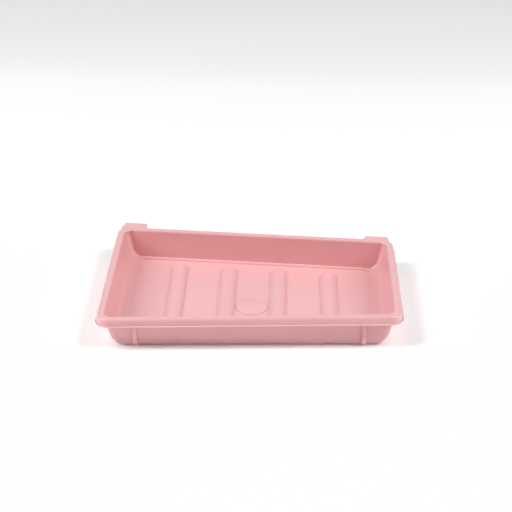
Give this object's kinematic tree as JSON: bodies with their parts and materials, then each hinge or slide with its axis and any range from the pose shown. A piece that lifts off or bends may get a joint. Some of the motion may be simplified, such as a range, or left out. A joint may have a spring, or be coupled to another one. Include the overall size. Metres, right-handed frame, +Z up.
{
  "type": "soap tray mould",
  "caption": "Shallow tapered plastic tray mould with a rolled rim, hollow half-round floor ridges and flat hang tabs on its back edge.",
  "frame": {"origin": "centre of the tray's box, on the surface it stands on", "axes": "+X along the tray's length towards its narrower end, +Y towards the hang tabs at the back, +Z up out of the tray"},
  "size_m": [0.25, 0.1808, 0.0285],
  "materials": {
    "pink_plastic": "injection-moulded polypropylene in soft pink, satin gloss"
  },
  "bodies": {
    "root": {"floor_panel": "pink_plastic", "gate_disc": "pink_plastic", "floor_ridge_1": "pink_plastic", "floor_ridge_2": "pink_plastic", "floor_ridge_3": "pink_plastic", "floor_ridge_4": "pink_plastic", "front_wall": "pink_plastic", "back_wall": "pink_plastic", "left_end_wall": "pink_plastic", "right_end_wall": "pink_plastic", "front_rim": "pink_plastic", "back_rim": "pink_plastic", "left_rim": "pink_plastic", "right_rim": "pink_plastic", "left_hang_tab": "pink_plastic", "right_hang_tab": "pink_plastic", "left_front_rib": "pink_plastic", "right_front_rib": "pink_plastic"}
  },
  "joints": []
}
